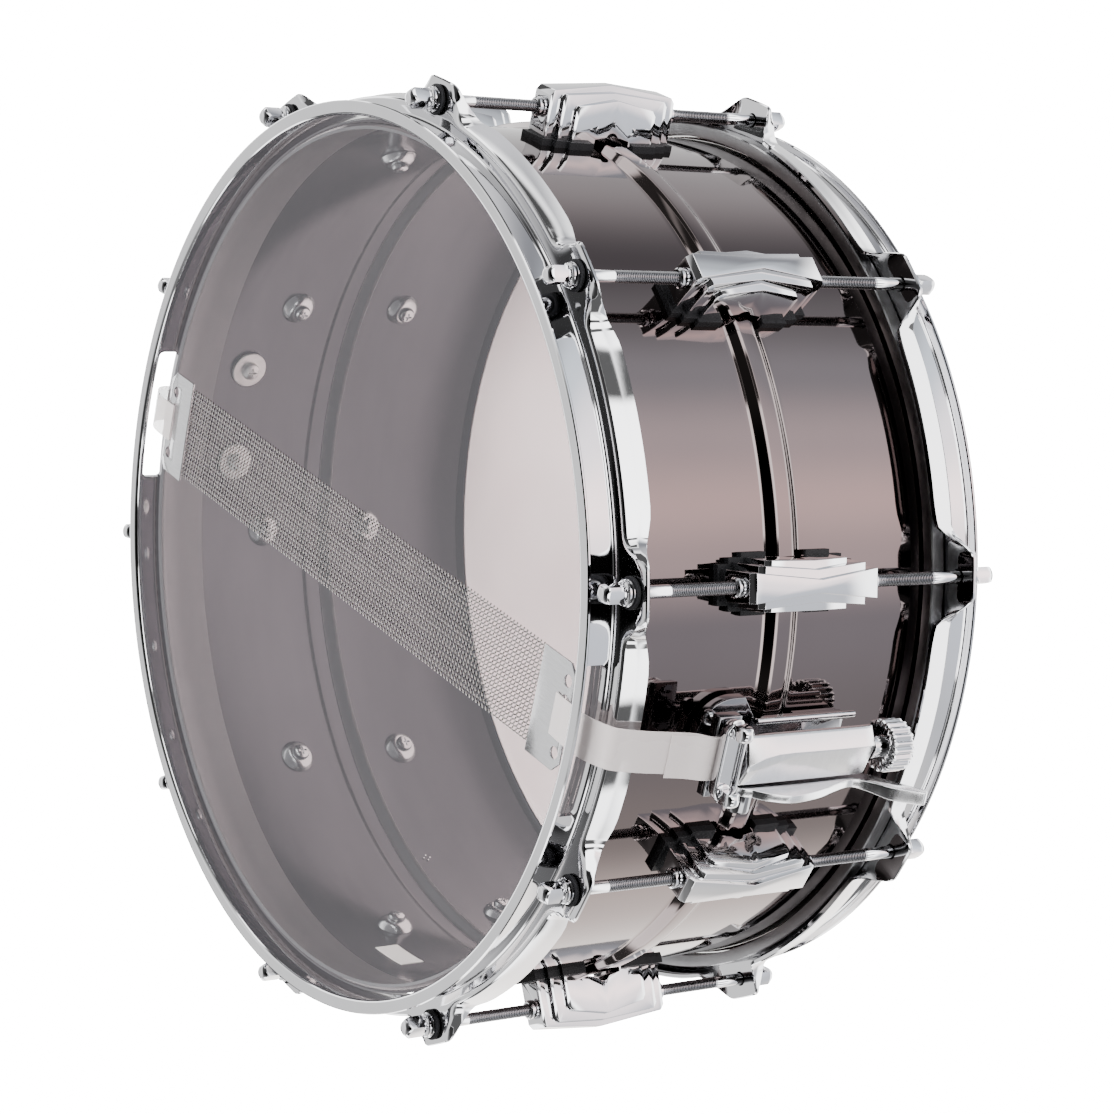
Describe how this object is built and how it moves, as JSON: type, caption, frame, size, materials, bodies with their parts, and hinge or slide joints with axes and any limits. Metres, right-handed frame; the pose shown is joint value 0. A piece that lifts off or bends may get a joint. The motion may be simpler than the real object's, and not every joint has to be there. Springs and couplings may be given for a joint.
{
  "type": "snare drum",
  "caption": "Shallow metal-shell snare drum with double-ended lugs, pressed hoops, coiled snare wires and a lever strainer with a tension knob.",
  "frame": {"origin": "centre of the batter head's playing face", "axes": "+Z along the drum's axis out of the batter head, +X towards the strainer"},
  "size_m": [0.4226, 0.4048, 0.1862],
  "materials": {
    "shell_nickel": "black nickel plate, mirror bright outside and satin inside",
    "coated_film": "rough white coating",
    "clear_film": "clear gloss film",
    "flesh_hoop_aluminium": "satin",
    "chrome": "mirror bright",
    "cover_chrome": "bright, slightly soft",
    "shaded_chrome": "bright",
    "rod_steel": "bright head, satin thread",
    "screw_steel": "zinc plate, satin",
    "wire_steel": "drawn wire",
    "plate_steel": "bright plate",
    "strap_plastic": "translucent, satin",
    "gasket_rubber": "matt"
  },
  "bodies": {
    "root": {"shell": "shell_nickel", "batter_head": "coated_film", "snare_side_head": "clear_film", "batter_flesh_hoop": "flesh_hoop_aluminium", "snare_flesh_hoop": "flesh_hoop_aluminium", "batter_hoop": "chrome", "snare_hoop": "chrome", "snare_wires": "wire_steel", "strainer_end_plate": "plate_steel", "butt_end_plate": "plate_steel", "strainer_strap": "strap_plastic", "butt_strap": "strap_plastic", "strainer_base": "shaded_chrome", "strainer_cover": "cover_chrome", "lever_pin": "shaded_chrome", "strainer_screw_lower": "screw_steel", "strainer_screw_upper": "screw_steel", "butt_base": "shaded_chrome", "butt_clamp_plate": "chrome", "butt_clamp_screw_left": "chrome", "butt_clamp_screw_right": "chrome", "butt_screw_left": "screw_steel", "butt_screw_right": "screw_steel", "lug_01": "chrome", "lug_02": "chrome", "lug_03": "chrome", "lug_04": "chrome", "lug_05": "chrome", "lug_06": "chrome", "lug_07": "chrome", "lug_08": "chrome", "lug_09": "chrome", "lug_10": "chrome"},
    "lever": {"release_lever": "cover_chrome"},
    "clamp": {"clamp_carriage": "shaded_chrome", "clamp_plate": "chrome", "clamp_screw_left": "chrome", "clamp_screw_right": "chrome"},
    "knob": {"tension_knob": "chrome"},
    "batter_rod_01": {"batter_rod_01": "rod_steel"},
    "batter_rod_02": {"batter_rod_02": "rod_steel"},
    "batter_rod_03": {"batter_rod_03": "rod_steel"},
    "batter_rod_04": {"batter_rod_04": "rod_steel"},
    "batter_rod_05": {"batter_rod_05": "rod_steel"},
    "batter_rod_06": {"batter_rod_06": "rod_steel"},
    "batter_rod_07": {"batter_rod_07": "rod_steel"},
    "batter_rod_08": {"batter_rod_08": "rod_steel"},
    "batter_rod_09": {"batter_rod_09": "rod_steel"},
    "batter_rod_10": {"batter_rod_10": "rod_steel"},
    "snare_rod_01": {"snare_rod_01": "rod_steel"},
    "snare_rod_02": {"snare_rod_02": "rod_steel"},
    "snare_rod_03": {"snare_rod_03": "rod_steel"},
    "snare_rod_04": {"snare_rod_04": "rod_steel"},
    "snare_rod_05": {"snare_rod_05": "rod_steel"},
    "snare_rod_06": {"snare_rod_06": "rod_steel"},
    "snare_rod_07": {"snare_rod_07": "rod_steel"},
    "snare_rod_08": {"snare_rod_08": "rod_steel"},
    "snare_rod_09": {"snare_rod_09": "rod_steel"},
    "snare_rod_10": {"snare_rod_10": "rod_steel"}
  },
  "joints": [
    {"name": "lever_throw", "type": "hinge", "parent": "root", "child": "lever", "pos_m": [0.198, 0.0133, -0.10525], "axis": [0, 1, 0], "range_deg": [0, 70]},
    {"name": "clamp_slide", "type": "slide", "parent": "root", "child": "clamp", "axis": [0, 0, 1], "range_m": [-0.00501, 0], "deforming": ["strainer_strap"]},
    {"name": "knob_turn", "type": "hinge", "parent": "root", "child": "knob", "pos_m": [0.2025, 0, -0.04225], "axis": [0, 0, 1], "range_deg": [-360, 360]},
    {"name": "batter_rod_01_turn", "type": "hinge", "parent": "root", "child": "batter_rod_01", "pos_m": [0.18213, 0.05918, -0.00495], "axis": [0, 0, 1], "continuous": true},
    {"name": "batter_rod_02_turn", "type": "hinge", "parent": "root", "child": "batter_rod_02", "pos_m": [0.11256, 0.15493, -0.00495], "axis": [0, 0, 1], "continuous": true},
    {"name": "batter_rod_03_turn", "type": "hinge", "parent": "root", "child": "batter_rod_03", "pos_m": [0, 0.1915, -0.00495], "axis": [0, 0, 1], "continuous": true},
    {"name": "batter_rod_04_turn", "type": "hinge", "parent": "root", "child": "batter_rod_04", "pos_m": [-0.11256, 0.15493, -0.00495], "axis": [0, 0, 1], "continuous": true},
    {"name": "batter_rod_05_turn", "type": "hinge", "parent": "root", "child": "batter_rod_05", "pos_m": [-0.18213, 0.05918, -0.00495], "axis": [0, 0, 1], "continuous": true},
    {"name": "batter_rod_06_turn", "type": "hinge", "parent": "root", "child": "batter_rod_06", "pos_m": [-0.18213, -0.05918, -0.00495], "axis": [0, 0, 1], "continuous": true},
    {"name": "batter_rod_07_turn", "type": "hinge", "parent": "root", "child": "batter_rod_07", "pos_m": [-0.11256, -0.15493, -0.00495], "axis": [0, 0, 1], "continuous": true},
    {"name": "batter_rod_08_turn", "type": "hinge", "parent": "root", "child": "batter_rod_08", "pos_m": [0, -0.1915, -0.00495], "axis": [0, 0, 1], "continuous": true},
    {"name": "batter_rod_09_turn", "type": "hinge", "parent": "root", "child": "batter_rod_09", "pos_m": [0.11256, -0.15493, -0.00495], "axis": [0, 0, 1], "continuous": true},
    {"name": "batter_rod_10_turn", "type": "hinge", "parent": "root", "child": "batter_rod_10", "pos_m": [0.18213, -0.05918, -0.00495], "axis": [0, 0, 1], "continuous": true},
    {"name": "snare_rod_01_turn", "type": "hinge", "parent": "root", "child": "snare_rod_01", "pos_m": [0.18213, 0.05918, -0.16155], "axis": [0, 0, 1], "continuous": true},
    {"name": "snare_rod_02_turn", "type": "hinge", "parent": "root", "child": "snare_rod_02", "pos_m": [0.11256, 0.15493, -0.16155], "axis": [0, 0, 1], "continuous": true},
    {"name": "snare_rod_03_turn", "type": "hinge", "parent": "root", "child": "snare_rod_03", "pos_m": [0, 0.1915, -0.16155], "axis": [0, 0, 1], "continuous": true},
    {"name": "snare_rod_04_turn", "type": "hinge", "parent": "root", "child": "snare_rod_04", "pos_m": [-0.11256, 0.15493, -0.16155], "axis": [0, 0, 1], "continuous": true},
    {"name": "snare_rod_05_turn", "type": "hinge", "parent": "root", "child": "snare_rod_05", "pos_m": [-0.18213, 0.05918, -0.16155], "axis": [0, 0, 1], "continuous": true},
    {"name": "snare_rod_06_turn", "type": "hinge", "parent": "root", "child": "snare_rod_06", "pos_m": [-0.18213, -0.05918, -0.16155], "axis": [0, 0, 1], "continuous": true},
    {"name": "snare_rod_07_turn", "type": "hinge", "parent": "root", "child": "snare_rod_07", "pos_m": [-0.11256, -0.15493, -0.16155], "axis": [0, 0, 1], "continuous": true},
    {"name": "snare_rod_08_turn", "type": "hinge", "parent": "root", "child": "snare_rod_08", "pos_m": [0, -0.1915, -0.16155], "axis": [0, 0, 1], "continuous": true},
    {"name": "snare_rod_09_turn", "type": "hinge", "parent": "root", "child": "snare_rod_09", "pos_m": [0.11256, -0.15493, -0.16155], "axis": [0, 0, 1], "continuous": true},
    {"name": "snare_rod_10_turn", "type": "hinge", "parent": "root", "child": "snare_rod_10", "pos_m": [0.18213, -0.05918, -0.16155], "axis": [0, 0, 1], "continuous": true}
  ],
  "couplings": [
    {"joint": "clamp_slide", "follows": "lever_throw", "m_per_rad": -0.004093}
  ]
}
